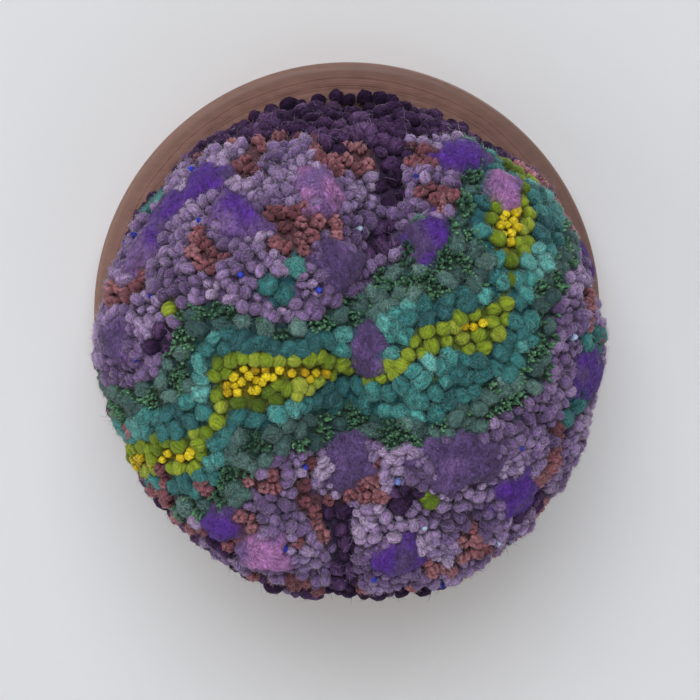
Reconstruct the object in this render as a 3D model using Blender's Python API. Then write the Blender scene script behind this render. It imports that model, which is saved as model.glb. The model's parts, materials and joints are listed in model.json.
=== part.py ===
"""Round turned wood plate that hangs on a wall, with a stuffed mound of looped yarn pile on its face.

The plate's flat foot lies in the plane Y = 0, centred on the origin. The front faces -Y and +Z is up.
Depths are measured from that plane towards the front, so a point at depth d has Y = -d.
"""
import math
import random

import bmesh
import bpy
from mathutils import Vector, noise

# Plate, turned from one board
PLATE_RADIUS = 0.0726
PLATE_THICKNESS = 0.0185
FLOOR_DEPTH = 0.0165
FLOOR_RADIUS = 0.0645
FOOT_RADIUS = 0.0470
FOOT_BEVEL = 0.0012
LIP_RADIUS = 0.0022
LIP_EDGE = 0.0008
LIP_WIDTH = 0.0032
LIP_FALL = 0.0004
PLATE_SEGMENTS = 80
LIP_STEPS = 5
UNDERSIDE_STEPS = 4

# Mound, one stuffed form under a skin of yarn loops
SEAT_GAP = 0.0003
MOUND_DEPTH = 0.0700
NECK_RADIUS = 0.0580
NECK_HEIGHT = 0.0050
MOUND_SAG = 0.0040
SAG_POWER = 1.3
MOUND_LEAN = 0.0010
MOUND_CELLS = 56
CORE_DEPTH = 0.0260
# Each row is one side of the mound: angle in degrees from +X, widest radius, depth of the widest
# section above the plate's floor, and boxiness, where 2 is a round shoulder and 3 a square one.
SIDES = (
    {"angle": 0, "radius": 0.0696, "widest_at": 0.030, "boxiness": 2.15},
    {"angle": 90, "radius": 0.0638, "widest_at": 0.018, "boxiness": 2.15},
    {"angle": 180, "radius": 0.0693, "widest_at": 0.034, "boxiness": 2.80},
    {"angle": 270, "radius": 0.0698, "widest_at": 0.036, "boxiness": 2.90},
)
# The valley between the two lobes, from top to bottom: its height, its place across, how far it is
# drawn in, and the half width of its steep part.
VALLEY = (
    {"z": 0.064, "x": 0.0050, "drawn_in": 0.0015, "half_width": 0.0060},
    {"z": 0.046, "x": 0.0105, "drawn_in": 0.0115, "half_width": 0.0080},
    {"z": 0.028, "x": 0.0080, "drawn_in": 0.0080, "half_width": 0.0075},
    {"z": 0.010, "x": 0.0010, "drawn_in": 0.0060, "half_width": 0.0060},
    {"z": -0.012, "x": -0.0020, "drawn_in": 0.0075, "half_width": 0.0050},
    {"z": -0.038, "x": -0.0055, "drawn_in": 0.0065, "half_width": 0.0060},
    {"z": -0.056, "x": -0.0035, "drawn_in": 0.0028, "half_width": 0.0060},
    {"z": -0.068, "x": -0.0020, "drawn_in": 0.0000, "half_width": 0.0060},
)
TROUGH_HALF_WIDTH = 0.0170
TROUGH_DRAWN_IN = 0.0032
TROUGH_FADES_FROM = 0.0340
TROUGH_ENDS_AT = 0.0560
CLUSTER_SIZE = 0.0200
CLUSTER_RELIEF = 0.0026
TUFT_SIZE = 0.0075
TUFT_RELIEF = 0.0014
TUFT_SHIFT = 5.0
RELIEF_DROP = 0.0006
CALM_BELOW = 0.0060
CALM_TO = 0.0160

# Band with stubby loops that stands round the mound's foot
RING_INNER_RADIUS = 0.0584
RING_WIDTH = 0.0024
RING_HEIGHT = 0.0041
LOOP_COUNT = 64
LOOP_LENGTH = 0.0029
LOOP_LENGTH_SPREAD = 0.0009
LOOP_LIFT = 0.0007
LOOP_SEED = 7
# Each row is a section of a loop: its share of the length and of the lift, and its height and width
# against the band's block that it grows from.
LOOP_SECTIONS = (
    {"length": 0.55, "lift": 0.5, "height": 0.92, "width": 1.22},
    {"length": 1.00, "lift": 1.0, "height": 0.52, "width": 0.70},
)

PROFILE_SAMPLES = 60
PLATE_SHARP_ANGLE = 35.0
YARN_SHARP_ANGLE = 60.0


def clear_scene():
    for item in list(bpy.data.objects):
        bpy.data.objects.remove(item, do_unlink=True)


def material(name, colour, roughness):
    finish = bpy.data.materials.new(name)
    finish.use_nodes = True
    shader = finish.node_tree.nodes["Principled BSDF"]
    shader.inputs["Base Color"].default_value = (*colour, 1.0)
    shader.inputs["Roughness"].default_value = roughness
    shader.inputs["Metallic"].default_value = 0.0
    finish.diffuse_color = (*colour, 1.0)
    return finish


def add_object(name, mesh, finish):
    mesh.materials.append(finish)
    item = bpy.data.objects.new(name, mesh)
    bpy.context.collection.objects.link(item)
    return item


def mesh_from(name, points, faces, smooth_angle):
    mesh = bpy.data.meshes.new(name)
    mesh.from_pydata(points, [], faces)
    shaper = bmesh.new()
    shaper.from_mesh(mesh)
    bmesh.ops.recalc_face_normals(shaper, faces=shaper.faces)
    shaper.to_mesh(mesh)
    shaper.free()
    mesh.shade_smooth()
    mesh.set_sharp_from_angle(angle=math.radians(smooth_angle))
    return mesh


def on_plate(radius, angle, depth):
    """A point at a radius and an angle round the plate's axis, at a depth in front of the wall."""
    return Vector((radius * math.cos(angle), -depth, radius * math.sin(angle)))


def ease(value, low, high):
    """0 below low, 1 above high, and a smooth rise between."""
    t = min(1.0, max(0.0, (value - low) / (high - low)))
    return t * t * (3.0 - 2.0 * t)


# Plate

def plate_profile():
    """The turned section as radius and depth, from the foot round the lip to the floor's edge."""
    points = [(FOOT_RADIUS - FOOT_BEVEL, 0.0), (FOOT_RADIUS, FOOT_BEVEL)]
    widest_depth = PLATE_THICKNESS - LIP_RADIUS - LIP_EDGE
    for step in range(1, UNDERSIDE_STEPS):
        turn = 0.5 * math.pi * step / UNDERSIDE_STEPS
        radius = FOOT_RADIUS + (PLATE_RADIUS - FOOT_RADIUS) * math.sin(turn)
        depth = FOOT_BEVEL + (widest_depth - FOOT_BEVEL) * (1.0 - math.cos(turn))
        points.append((radius, depth))
    centre_radius = PLATE_RADIUS - LIP_RADIUS
    centre_depth = PLATE_THICKNESS - LIP_RADIUS
    for step in range(LIP_STEPS + 1):
        turn = 0.5 * math.pi * step / LIP_STEPS
        points.append((centre_radius + LIP_RADIUS * math.cos(turn), centre_depth + LIP_RADIUS * math.sin(turn)))
    points.append((centre_radius - LIP_WIDTH, PLATE_THICKNESS - LIP_FALL))
    points.append((FLOOR_RADIUS, FLOOR_DEPTH))
    return points


def make_plate():
    profile = plate_profile()
    points = []
    faces = []
    for radius, depth in profile:
        for segment in range(PLATE_SEGMENTS):
            points.append(on_plate(radius, 2.0 * math.pi * segment / PLATE_SEGMENTS, depth))
    for ring in range(len(profile) - 1):
        for segment in range(PLATE_SEGMENTS):
            following = (segment + 1) % PLATE_SEGMENTS
            first = ring * PLATE_SEGMENTS
            second = first + PLATE_SEGMENTS
            faces.append((first + segment, first + following, second + following, second + segment))
    last = (len(profile) - 1) * PLATE_SEGMENTS
    faces.append(tuple(range(PLATE_SEGMENTS)))
    faces.append(tuple(last + segment for segment in range(PLATE_SEGMENTS)))
    mesh = mesh_from("wood_plate", points, faces, PLATE_SHARP_ANGLE)
    return add_object("wood_plate", mesh, material("oiled brown wood", (0.155, 0.092, 0.075), 0.48))


# Mound

def side_values(angle):
    """Widest radius, its height and the boxiness at an angle, blended from the four sides."""
    total = 0.0
    radius = 0.0
    widest_at = 0.0
    boxiness = 0.0
    for side in SIDES:
        weight = max(0.0, math.cos(angle - math.radians(side["angle"]))) ** 2
        total += weight
        radius += weight * side["radius"]
        widest_at += weight * side["widest_at"]
        boxiness += weight * side["boxiness"]
    return radius / total, widest_at / total, boxiness / total


def meridian(angle):
    """Radius and height pairs from the mound's front pole over its shoulder to its foot."""
    radius, widest_at, boxiness = side_values(angle)
    rise = MOUND_DEPTH - widest_at
    points = []
    for step in range(PROFILE_SAMPLES + 1):
        turn = 0.5 * math.pi * step / PROFILE_SAMPLES
        across = max(0.0, math.sin(turn)) ** (2.0 / boxiness)
        up = max(0.0, math.cos(turn)) ** (2.0 / boxiness)
        points.append((radius * across, widest_at + rise * up))
    for step in range(1, PROFILE_SAMPLES + 1):
        turn = 0.5 * math.pi * step / PROFILE_SAMPLES
        inward = NECK_RADIUS + (radius - NECK_RADIUS) * math.cos(turn)
        height = NECK_HEIGHT + (widest_at - NECK_HEIGHT) * (1.0 - math.sin(turn))
        points.append((inward, height))
    points.append((NECK_RADIUS, 0.0))
    return points


def along(points, share):
    """The point at a share of the length of a run of points."""
    lengths = [0.0]
    for first, second in zip(points, points[1:]):
        lengths.append(lengths[-1] + math.dist(first, second))
    target = share * lengths[-1]
    for index in range(1, len(points)):
        if lengths[index] >= target:
            span = lengths[index] - lengths[index - 1]
            t = (target - lengths[index - 1]) / span if span else 0.0
            start = points[index - 1]
            end = points[index]
            return start[0] + t * (end[0] - start[0]), start[1] + t * (end[1] - start[1])
    return points[-1]


def valley_at(z, column):
    """A column of the valley's table at a height, with a smooth change from row to row."""
    if z >= VALLEY[0]["z"]:
        return VALLEY[0][column]
    for upper, lower in zip(VALLEY, VALLEY[1:]):
        if z >= lower["z"]:
            t = ease(upper["z"] - z, 0.0, upper["z"] - lower["z"])
            return upper[column] + t * (lower[column] - upper[column])
    return VALLEY[-1][column]


def drawn_in(point):
    """How far the skin is pulled towards the core by the valley between the lobes."""
    offset = point.x - valley_at(point.z, "x")
    half_width = valley_at(point.z, "half_width")
    crease = valley_at(point.z, "drawn_in") * math.exp(-0.5 * (offset / half_width) ** 2)
    fade = 1.0 - ease(abs(point.z), TROUGH_FADES_FROM, TROUGH_ENDS_AT)
    trough = TROUGH_DRAWN_IN * fade * math.exp(-0.5 * (offset / TROUGH_HALF_WIDTH) ** 2)
    return crease + trough


def relief(point):
    """Clusters of tufts swell the skin a little, and single tufts ripple it."""
    cluster = noise.noise(point / CLUSTER_SIZE) * CLUSTER_RELIEF
    shift = Vector((TUFT_SHIFT, TUFT_SHIFT, TUFT_SHIFT))
    tuft = noise.noise(point / TUFT_SIZE + shift) * TUFT_RELIEF
    return cluster + tuft - RELIEF_DROP


def disk_point(across, up):
    """Map a square from -1 to 1 onto a disk, so that its cells keep a like size."""
    if across == 0.0 and up == 0.0:
        return 0.0, 0.0
    if abs(across) > abs(up):
        radius = abs(across)
        angle = 0.25 * math.pi * up / across + (math.pi if across < 0.0 else 0.0)
    else:
        radius = abs(up)
        angle = 0.5 * math.pi - 0.25 * math.pi * across / up + (math.pi if up < 0.0 else 0.0)
    return radius, angle


def mound_point(share, angle):
    radius, height = along(meridian(angle), share)
    level = height / MOUND_DEPTH
    point = on_plate(radius, angle, FLOOR_DEPTH + SEAT_GAP + height)
    point.x += MOUND_LEAN * level
    point.z -= MOUND_SAG * level ** SAG_POWER
    core = Vector((0.0, -(FLOOR_DEPTH + CORE_DEPTH), 0.0))
    outward = (point - core).normalized()
    shaped = ease(height, CALM_BELOW, CALM_TO)
    return point + outward * shaped * (relief(point) - drawn_in(point))


def make_mound():
    side = MOUND_CELLS + 1
    points = []
    faces = []
    for row in range(side):
        for column in range(side):
            across = 2.0 * column / MOUND_CELLS - 1.0
            up = 2.0 * row / MOUND_CELLS - 1.0
            share, angle = disk_point(across, up)
            points.append(mound_point(share, angle))
    for row in range(MOUND_CELLS):
        for column in range(MOUND_CELLS):
            corner = row * side + column
            faces.append((corner, corner + 1, corner + side + 1, corner + side))
    bottom = list(range(side))
    right = [row * side + side - 1 for row in range(1, side)]
    top = [side * side - 1 - column for column in range(1, side)]
    left = [row * side for row in range(side - 2, 0, -1)]
    faces.append(tuple(bottom + right + top + left))
    mesh = mesh_from("fiber_mound", points, faces, YARN_SHARP_ANGLE)
    return add_object("fiber_mound", mesh, material("purple looped wool pile", (0.118, 0.070, 0.150), 0.95))


# Band of loops

def ring_block(radius, angle, half_turn, centre_height, half_height):
    """Four corners at one radius of the band, in order round the block."""
    corners = []
    for turn, rise in ((-1, -1), (1, -1), (1, 1), (-1, 1)):
        depth = FLOOR_DEPTH + centre_height + rise * half_height
        corners.append(on_plate(radius, angle + turn * half_turn, depth))
    return corners


def make_ring():
    """A band on the plate's floor whose every second block carries a stubby loop."""
    chance = random.Random(LOOP_SEED)
    segments = 2 * LOOP_COUNT
    half_turn = math.pi / segments
    half_height = 0.5 * RING_HEIGHT
    centre_height = SEAT_GAP + half_height
    outer_radius = RING_INNER_RADIUS + RING_WIDTH
    points = []
    faces = []
    for segment in range(segments):
        angle = (2 * segment - 1) * half_turn
        for radius in (RING_INNER_RADIUS, outer_radius):
            for rise in (-1, 1):
                points.append(on_plate(radius, angle, FLOOR_DEPTH + centre_height + rise * half_height))
    for segment in range(segments):
        here = 4 * segment
        there = 4 * ((segment + 1) % segments)
        faces.append((here, there, there + 1, here + 1))
        faces.append((here, here + 2, there + 2, there))
        faces.append((here + 1, there + 1, there + 3, here + 3))
        base = (here + 2, there + 2, there + 3, here + 3)
        if segment % 2 == 0:
            length = LOOP_LENGTH + chance.uniform(-1.0, 1.0) * LOOP_LENGTH_SPREAD
            for section in LOOP_SECTIONS:
                first = len(points)
                points += ring_block(
                    outer_radius + section["length"] * length,
                    2 * segment * half_turn,
                    section["width"] * half_turn,
                    centre_height + section["lift"] * LOOP_LIFT,
                    section["height"] * half_height,
                )
                for corner in range(4):
                    following = (corner + 1) % 4
                    faces.append((base[corner], base[following], first + following, first + corner))
                base = tuple(range(first, first + 4))
        faces.append(base)
    mesh = mesh_from("rim_loops", points, faces, YARN_SHARP_ANGLE)
    return add_object("rim_loops", mesh, material("dark aubergine wool loops", (0.028, 0.016, 0.040), 0.95))


clear_scene()
make_plate()
make_mound()
make_ring()
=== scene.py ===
"""Looks of a stuffed mound of looped wool pile on a round turned wood plate."""
import json
import math
import random

import bmesh
import bpy
import numpy as np
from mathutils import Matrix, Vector, kdtree, noise

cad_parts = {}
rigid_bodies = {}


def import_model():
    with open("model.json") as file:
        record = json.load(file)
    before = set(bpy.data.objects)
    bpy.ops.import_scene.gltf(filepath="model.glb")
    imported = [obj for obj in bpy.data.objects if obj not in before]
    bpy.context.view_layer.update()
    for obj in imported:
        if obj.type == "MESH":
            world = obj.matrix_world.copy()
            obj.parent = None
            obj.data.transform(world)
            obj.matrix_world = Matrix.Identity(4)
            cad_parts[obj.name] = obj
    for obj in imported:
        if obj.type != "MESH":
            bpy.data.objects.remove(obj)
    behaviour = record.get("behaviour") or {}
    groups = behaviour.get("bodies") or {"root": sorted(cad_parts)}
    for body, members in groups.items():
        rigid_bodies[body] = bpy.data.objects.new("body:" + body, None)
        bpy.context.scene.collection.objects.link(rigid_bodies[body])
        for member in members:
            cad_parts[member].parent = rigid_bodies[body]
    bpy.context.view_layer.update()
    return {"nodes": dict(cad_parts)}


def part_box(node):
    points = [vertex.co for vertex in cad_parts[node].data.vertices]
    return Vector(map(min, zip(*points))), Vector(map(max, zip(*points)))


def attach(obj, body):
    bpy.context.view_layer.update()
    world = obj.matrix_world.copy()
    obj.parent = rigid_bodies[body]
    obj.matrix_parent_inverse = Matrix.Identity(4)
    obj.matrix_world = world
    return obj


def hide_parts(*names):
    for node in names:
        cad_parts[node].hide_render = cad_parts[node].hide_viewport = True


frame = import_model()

MM = 0.001


# Camera
# The photograph looks at the plate from a little above and a little to its left, from about 0.7 m.
# The plate's centre lies above the middle of the frame, so the camera aims below it.
VIEW_AZIMUTH = math.radians(-2.0)
VIEW_ELEVATION = math.radians(9.5)
VIEW_DISTANCE = 0.700
FRAME_PIXELS = 700
WALL_PER_PIXEL = 0.294 * MM
PLATE_CENTRE_PIXEL = (345.7, 306.8)

back = Vector((
    math.sin(VIEW_AZIMUTH) * math.cos(VIEW_ELEVATION),
    -math.cos(VIEW_AZIMUTH) * math.cos(VIEW_ELEVATION),
    math.sin(VIEW_ELEVATION),
))
right = Vector((math.cos(VIEW_AZIMUTH), math.sin(VIEW_AZIMUTH), 0.0))
above = back.cross(right)
aim_right = (0.5 * FRAME_PIXELS - PLATE_CENTRE_PIXEL[0]) * WALL_PER_PIXEL
aim_down = (0.5 * FRAME_PIXELS - PLATE_CENTRE_PIXEL[1]) * WALL_PER_PIXEL
eye = back * VIEW_DISTANCE
aim = right * aim_right - above * aim_down
camera = bpy.data.objects.new("camera", bpy.data.cameras.new("camera"))
camera.data.lens = camera.data.sensor_width * VIEW_DISTANCE / (WALL_PER_PIXEL * FRAME_PIXELS)
camera.data.clip_start = 0.05
camera.data.clip_end = 20.0
camera.location = eye
camera.rotation_mode = "QUATERNION"
camera.rotation_quaternion = (aim - eye).to_track_quat("-Z", "Y")
bpy.context.scene.collection.objects.link(camera)
bpy.context.scene.camera = camera


# Studio
# A pale backdrop stands right behind the plate and a pale floor lies well below it. A broad soft
# light hangs in front and above, a weaker warm one fills the left side, and a third lights the back.
BACKDROP_GAP = 0.3 * MM
FLOOR_DROP = 0.45
STAGE_HALF = 3.0
LIGHT_TARGET = (0.0, -0.03, 0.0)
ROOM_STRENGTH = 0.27


def linear(code):
    """An sRGB hex colour as linear red, green, blue and alpha."""
    parts = [int(code[place:place + 2], 16) / 255.0 for place in (1, 3, 5)]
    return tuple(c / 12.92 if c <= 0.04045 else ((c + 0.055) / 1.055) ** 2.4 for c in parts) + (1.0,)


def add(tree, kind, inputs=None, **settings):
    """Add a node with its settings, and set or link its inputs by name or number. A node that is
    given as an input stands for its first output."""
    made = tree.nodes.new(kind)
    for name, value in settings.items():
        setattr(made, name, value)
    for socket, value in (inputs or {}).items():
        if isinstance(value, bpy.types.Node):
            value = value.outputs[0]
        if isinstance(value, bpy.types.NodeSocket):
            tree.links.new(value, made.inputs[socket])
        else:
            made.inputs[socket].default_value = value
    return made


def new_material(name):
    made = bpy.data.materials.new(name)
    made.use_nodes = True
    return made, made.node_tree, made.node_tree.nodes["Principled BSDF"]


def linked(name, data):
    """A new object in the scene."""
    made = bpy.data.objects.new(name, data)
    bpy.context.scene.collection.objects.link(made)
    return made


def plane(name, centre, half, normal):
    sides = Vector(normal).to_track_quat("Z", "Y")
    ends = ((-1, -1), (1, -1), (1, 1), (-1, 1))
    corners = [sides @ Vector((x * half, y * half, 0.0)) + Vector(centre) for x, y in ends]
    mesh = bpy.data.meshes.new(name)
    mesh.from_pydata(corners, [], [(0, 1, 2, 3)])
    return linked(name, mesh)


def lamp(name, place, target, size, power, colour="#ffffff"):
    light = bpy.data.lights.new(name, "AREA")
    light.shape = "DISK"
    light.size = size
    light.energy = power
    light.color = linear(colour)[:3]
    made = linked(name, light)
    made.location = place
    made.rotation_mode = "QUATERNION"
    made.rotation_quaternion = (Vector(target) - Vector(place)).to_track_quat("-Z", "Y")


def matt_paint(name):
    """Matt paint has no shine, so all it shows is the part's soft shadow."""
    made, tree, shader = new_material(name)
    shader.inputs["Base Color"].default_value = linear("#e4e5e8")
    shader.inputs["Roughness"].default_value = 0.9
    return made, tree, shader


backdrop = plane("backdrop", (0.0, BACKDROP_GAP, 0.0), STAGE_HALF, (0.0, -1.0, 0.0))
ground = plane("floor", (0.0, 0.0, -FLOOR_DROP), STAGE_HALF, (0.0, 0.0, 1.0))
ground.data.materials.append(matt_paint("matt pale paint")[0])

# The backdrop is painted on its front alone, so that the part can be looked at from behind.
one_sided, tree, shader = matt_paint("matt pale paint, front only")
behind = add(tree, "ShaderNodeNewGeometry").outputs["Backfacing"]
clear = add(tree, "ShaderNodeBsdfTransparent")
shown = add(tree, "ShaderNodeMixShader", {0: behind, 1: shader, 2: clear})
tree.links.new(shown.outputs[0], tree.nodes["Material Output"].inputs["Surface"])
backdrop.data.materials.append(one_sided)
backdrop.visible_shadow = False

lamp("window light", (-0.14, -1.45, 0.98), LIGHT_TARGET, 1.30, 21.8, "#f1f8ff")
lamp("left fill", (-1.6, -0.7, 0.35), LIGHT_TARGET, 1.0, 4.0, "#fff2e2")
lamp("back fill", (0.6, 1.2, 0.7), (0.0, 0.0, 0.0), 1.0, 9.0)
world = bpy.data.worlds.new("soft room light")
world.use_nodes = True
world.node_tree.nodes["Background"].inputs["Color"].default_value = linear("#fdecd2")
world.node_tree.nodes["Background"].inputs["Strength"].default_value = ROOM_STRENGTH
bpy.context.scene.world = world
bpy.context.scene.view_settings.view_transform = "Standard"


# Wood plate
# One round board turned on a lathe: a flat foot, a full underside, a rounded lip and a shallow
# floor. It is a mid brown hardwood under thin satin oil, with fine turning lines round its face.
PLATE_FLOOR = 16.5 * MM
PLATE_FLOOR_RADIUS = 64.5 * MM
FOOT_RADIUS = 47.0 * MM
FOOT_BEVEL = 1.2 * MM
LIP_RADIUS = 2.2 * MM
LIP_EDGE = 0.8 * MM
LIP_WIDTH = 3.2 * MM
LIP_FALL = 0.4 * MM
UNDERSIDE_STEPS = 14
LIP_STEPS = 10
FACE_STEPS = 6
PLATE_TURNS = 200
PLATE_SHARP = 40.0
# The wood's pattern, in cells a metre: the lathe's rings, and the long narrow grain that runs slantwise.
LATHE_RINGS = 1900.0
RING_WANDER = 3.0 * MM
GRAIN_SCALE = (45.0, 900.0, 900.0)
GRAIN_TURN = 1.2
# The lip is greyer and darker between these two radii, and painted light makes the board lighter towards its
# left side.
GREY_LIP_FROM = 66.5 * MM
GREY_LIP_TO = 71.0 * MM
PAINTED_LIGHT_FROM = 60.0 * MM
PAINTED_LIGHT_TO = -70.0 * MM
PAINTED_LIGHT_GAIN = 1.38


def plate_profile(radius, thickness):
    """Radius and depth of the turned section, from the middle of the foot to the middle of the face."""
    widest = thickness - LIP_RADIUS - LIP_EDGE
    points = [(0.0, 0.0), (FOOT_RADIUS - FOOT_BEVEL, 0.0), (FOOT_RADIUS - 0.3 * FOOT_BEVEL, 0.3 * FOOT_BEVEL)]
    for step in range(UNDERSIDE_STEPS):
        turn = 0.5 * math.pi * step / UNDERSIDE_STEPS
        out = FOOT_RADIUS + (radius - FOOT_RADIUS) * math.sin(turn)
        points.append((out, FOOT_BEVEL + (widest - FOOT_BEVEL) * (1.0 - math.cos(turn))))
    for step in range(LIP_STEPS + 1):
        turn = 0.5 * math.pi * step / LIP_STEPS
        out = radius - LIP_RADIUS + LIP_RADIUS * math.cos(turn)
        points.append((out, thickness - LIP_RADIUS + LIP_RADIUS * math.sin(turn)))
    start = (radius - LIP_RADIUS, thickness)
    bend = (radius - LIP_RADIUS - LIP_WIDTH, thickness - LIP_FALL)
    end = (PLATE_FLOOR_RADIUS, PLATE_FLOOR)
    for step in range(1, FACE_STEPS + 1):
        t = step / FACE_STEPS
        curve = zip(start, bend, end)
        points.append(tuple((1 - t) ** 2 * a + 2 * t * (1 - t) * b + t * t * c for a, b, c in curve))
    points.append((0.0, PLATE_FLOOR))
    return points


def bands(rings, sides):
    """The four-cornered faces between rings of points that follow each other."""
    faces = []
    for here in range(0, (rings - 1) * sides, sides):
        for side in range(sides):
            after = here + (side + 1) % sides
            faces.append((here + side, after, after + sides, here + sides + side))
    return faces


def turned(name, profile, turns):
    """A closed body turned round the Y axis, with its depths towards -Y."""
    points = []
    inner = profile[1:-1]
    for radius, depth in inner:
        for turn in range(turns):
            angle = math.tau * turn / turns
            points.append((radius * math.cos(angle), -depth, radius * math.sin(angle)))
    faces = bands(len(inner), turns)
    last = (len(inner) - 1) * turns
    points += [(0.0, -profile[0][1], 0.0), (0.0, -profile[-1][1], 0.0)]
    for turn in range(turns):
        after = (turn + 1) % turns
        faces.append((turn, len(points) - 2, after))
        faces.append((last + turn, last + after, len(points) - 1))
    return solid(name, points, faces, sharp=PLATE_SHARP)


def solid(name, points, faces, sharp=180.0):
    """A smooth-shaded mesh object with its faces turned outwards."""
    mesh = bpy.data.meshes.new(name)
    mesh.from_pydata(points, [], faces)
    shaper = bmesh.new()
    shaper.from_mesh(mesh)
    bmesh.ops.recalc_face_normals(shaper, faces=shaper.faces)
    shaper.to_mesh(mesh)
    shaper.free()
    mesh.shade_smooth()
    mesh.set_sharp_from_angle(angle=math.radians(sharp))
    return linked(name, mesh)


def oiled_wood():
    """Satin oil leaves the grain matt and lets the lathe's fine rings catch the light. Painted light makes
    one side of the board a little lighter, and its lip is greyer and darker."""
    made, tree, shader = new_material("oiled turned hardwood")
    place = add(tree, "ShaderNodeTexCoord").outputs["Object"]
    apart = add(tree, "ShaderNodeSeparateXYZ", {0: place}).outputs
    face = add(tree, "ShaderNodeCombineXYZ", {"X": apart["X"], "Y": apart["Z"]})
    radius = add(tree, "ShaderNodeVectorMath", {0: face}, operation="LENGTH").outputs["Value"]
    wander = add(tree, "ShaderNodeTexNoise", {"Vector": place, "Scale": 34.0, "Detail": 2.0})
    off = add(tree, "ShaderNodeMath", {0: wander, 1: RING_WANDER}, operation="MULTIPLY")
    ring = add(tree, "ShaderNodeMath", {0: radius, 1: off}, operation="ADD")
    turning = add(tree, "ShaderNodeTexNoise", {
        "W": ring, "Scale": LATHE_RINGS, "Detail": 4.0, "Roughness": 0.85,
    }, noise_dimensions="1D")
    along_grain = add(tree, "ShaderNodeMapping", {
        "Vector": place, "Scale": GRAIN_SCALE, "Rotation": (0.0, GRAIN_TURN, 0.0),
    })
    grain = add(tree, "ShaderNodeTexNoise", {
        "Vector": along_grain, "Scale": 1.0, "Detail": 5.0, "Roughness": 0.7,
    })
    broken = add(tree, "ShaderNodeTexNoise", {"Vector": place, "Scale": 260.0, "Detail": 3.0})
    figure = add(tree, "ShaderNodeMix", {0: 0.28, 2: turning, 3: grain})
    figure = add(tree, "ShaderNodeMix", {0: 0.18, 2: figure, 3: broken})
    tone = add(tree, "ShaderNodeValToRGB", {"Fac": figure})
    for stop, position, colour in zip(tone.color_ramp.elements, (0.32, 0.68), ("#674840", "#b0867a")):
        stop.position = position
        stop.color = linear(colour)
    # Between these radii the lip's colour is mixed towards a greyer, darker brown.
    rim = add(tree, "ShaderNodeMapRange", {
        "Value": radius, "From Min": GREY_LIP_FROM, "From Max": GREY_LIP_TO, "To Max": 0.7,
    })
    grey_lip_tone = add(tree, "ShaderNodeMix", {0: rim, 6: tone, 7: linear("#664e45")}, data_type="RGBA").outputs[2]
    # Painted light: the board's colour is raised towards its left side, standing in for light from that side.
    painted_side_light = add(tree, "ShaderNodeMapRange", {
        "Value": apart["X"], "From Min": PAINTED_LIGHT_TO, "From Max": PAINTED_LIGHT_FROM, "To Min": PAINTED_LIGHT_GAIN, "To Max": 1.0,
    })
    board = add(tree, "ShaderNodeVectorMath", {0: grey_lip_tone, "Scale": painted_side_light}, operation="SCALE")
    tree.links.new(board.outputs[0], shader.inputs["Base Color"])
    polish = add(tree, "ShaderNodeMapRange", {"Value": figure, "To Min": 0.45, "To Max": 0.62})
    tree.links.new(polish.outputs[0], shader.inputs["Roughness"])
    grooves = add(tree, "ShaderNodeBump", {"Height": figure, "Strength": 0.4, "Distance": 0.15 * MM})
    tree.links.new(grooves.outputs[0], shader.inputs["Normal"])
    shader.inputs["Specular IOR Level"].default_value = 0.4
    return made


plate_low, plate_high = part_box("wood_plate")
plate = turned("turned_plate", plate_profile(plate_high.x, -plate_low.y), PLATE_TURNS)
plate.data.materials.append(oiled_wood())
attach(plate, "root")
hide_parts("wood_plate")


# Mound skin
# A stuffed form in two lobes, covered in base cloth that the yarn loops are punched through, darkened as
# painted shade between the loops.
# Felted patches swell from the cloth to the height of the loops, and have no loops of their own.
PILE_HEIGHT = 2.6 * MM
PATCH_SWELL = 1.2 * MM
SKIN_LEVELS = 1
MERGE_ANGLE = math.radians(60.0)
# A patch is whole out to its core, and its ragged edge has faded away at its brim.
PATCH_CORE = 0.80
PATCH_BRIM = 1.15
PATCH_RAGGED = 0.62
# The skin keeps its place near the plate, and is drawn in under the pile from here upwards.
SUNK_FROM = 4.0 * MM
SUNK_WHOLE = 8.0 * MM
# Each row is a felted patch: its place across, up and out of the plate, its half width and half
# height, all in mm, and its wool.
PATCHES = (
    (-37, 44, 44, 7.5, 5.6, "violet"),
    (-30, 35, 54, 9.0, 5.8, "purple"),
    (29, 50, 38, 8.2, 5.8, "violet"),
    (40, 40, 42, 6.4, 6.4, "orchid"),
    (17, 32, 58, 6.8, 7.5, "violet"),
    (-8, 44, 54, 6.4, 7.7, "orchid"),
    (-2, 26, 62, 7.7, 6.4, "plum"),
    (-52, 22, 42, 5.8, 8.3, "purple"),
    (-46, 33, 40, 5.5, 6.8, "violet"),
    (58, -10, 40, 7.0, 9.0, "violet"),
    (27, -27, 64, 10.9, 9.0, "plum"),
    (40, -37, 54, 7.4, 6.8, "violet"),
    (9, -52, 54, 7.6, 6.6, "violet"),
    (-22, -50, 54, 8.3, 5.8, "orchid"),
    (-33, -43, 56, 6.4, 6.0, "violet"),
    (44, -51, 34, 7.7, 5.8, "orchid"),
    (-3, -28, 62, 5.8, 9.0, "plum"),
    (3, 2, 62, 4.6, 7.7, "plum"),
    (66, 20, 24, 7.0, 7.7, "violet"),
    (-67, -6, 26, 7.7, 10.2, "purple"),
    (-10, -67, 30, 9.0, 7.7, "purple"),
    (30, -62, 26, 7.7, 7.7, "violet"),
    (-60, 2, 50, 6.0, 7.0, "plum"),
)
PATCH_WOOL = {"violet": "#502788", "purple": "#70548a", "orchid": "#a06da2", "plum": "#533f6c"}
# Each patch is carded from two wools, and fades from one into the other.
CARDED_WITH = {"violet": "plum", "purple": "violet", "orchid": "purple", "plum": "purple"}


def store(mesh, name, values):
    """Keep one number a point on a mesh, for the materials and the trees to read."""
    mesh.attributes.new(name, "FLOAT", "POINT").data.foreach_set("value", values)


def ease(value, low, high):
    t = np.clip((value - low) / (high - low), 0.0, 1.0)
    return t * t * (3.0 - 2.0 * t)


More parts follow.
